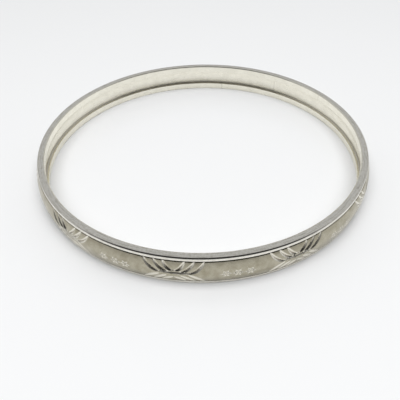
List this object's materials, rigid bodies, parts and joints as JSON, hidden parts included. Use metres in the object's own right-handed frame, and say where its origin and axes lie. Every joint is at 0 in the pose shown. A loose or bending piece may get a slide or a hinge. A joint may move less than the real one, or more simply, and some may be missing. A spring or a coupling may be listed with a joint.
{
  "type": "bangle bracelet",
  "caption": "Closed round slip-on bangle: domed matte band engraved with fans and florets, between two polished rim wires.",
  "frame": {"origin": "centre of the ring, on the surface that the bangle lies on", "axes": "+Z along the ring's axis; -Y towards the front; +X to the right seen from the front"},
  "size_m": [0.0668, 0.0668, 0.006],
  "materials": {
    "band_silver": "sandblasted silver with bright-cut strokes",
    "rim_silver": "polished silver",
    "solder": "satin silver solder"
  },
  "bodies": {
    "root": {"engraved_band": "band_silver", "upper_rim": "rim_silver", "lower_rim": "rim_silver", "band_seam_solder": "solder", "upper_rim_seam_solder": "solder", "lower_rim_seam_solder": "solder", "upper_joint_solder": "solder", "lower_joint_solder": "solder"}
  },
  "joints": []
}
